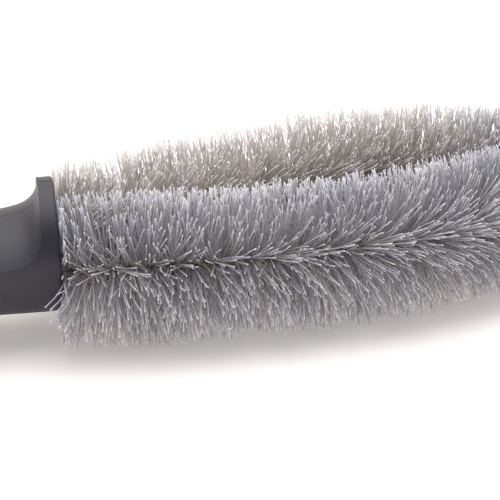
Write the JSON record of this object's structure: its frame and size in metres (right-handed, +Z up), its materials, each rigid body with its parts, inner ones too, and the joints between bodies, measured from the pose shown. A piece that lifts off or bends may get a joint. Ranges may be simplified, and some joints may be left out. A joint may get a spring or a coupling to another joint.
{
  "type": "wheel brush",
  "caption": "Twisted-wire brush with soft grey filaments, bent into a long loop and fixed in a dark grey split handle with a round collar and thumb saddle.",
  "frame": {"origin": "bottom centre of the brush's bounding box, on the surface it lies on", "axes": "+X along the handle, from its rear to the loop, +Y across the handle towards the half-shell with the screws, +Z up. The loop's middle line leans 10 degrees from +X towards +Y"},
  "size_m": [0.4, 0.1072, 0.0508],
  "materials": {
    "filament": "translucent pale grey extruded filament, fine, with bright cut tips",
    "core_wire": "galvanised steel wire with a warm tone, drawn",
    "grip_plastic": "dark grey moulded plastic with a fine spark-eroded grain",
    "moulded_insert": "black moulded nylon",
    "plated_steel": "zinc-plated steel"
  },
  "bodies": {
    "root": {"anchor_backing_plate": "plated_steel", "anchor_block": "moulded_insert", "anchor_screws": "plated_steel", "bristles_far_bend": "filament", "bristles_far_run": "filament", "bristles_loop_end": "filament", "bristles_near_bend": "filament", "bristles_near_run": "filament", "core_strand_a": "core_wire", "core_strand_b": "core_wire", "end_cap": "grip_plastic", "guide_plate": "moulded_insert", "handle_screws": "plated_steel", "handle_shell_far": "grip_plastic", "handle_shell_near": "grip_plastic", "hang_bush": "moulded_insert", "tail_ferrule_far": "plated_steel", "tail_ferrule_near": "plated_steel"}
  },
  "joints": []
}
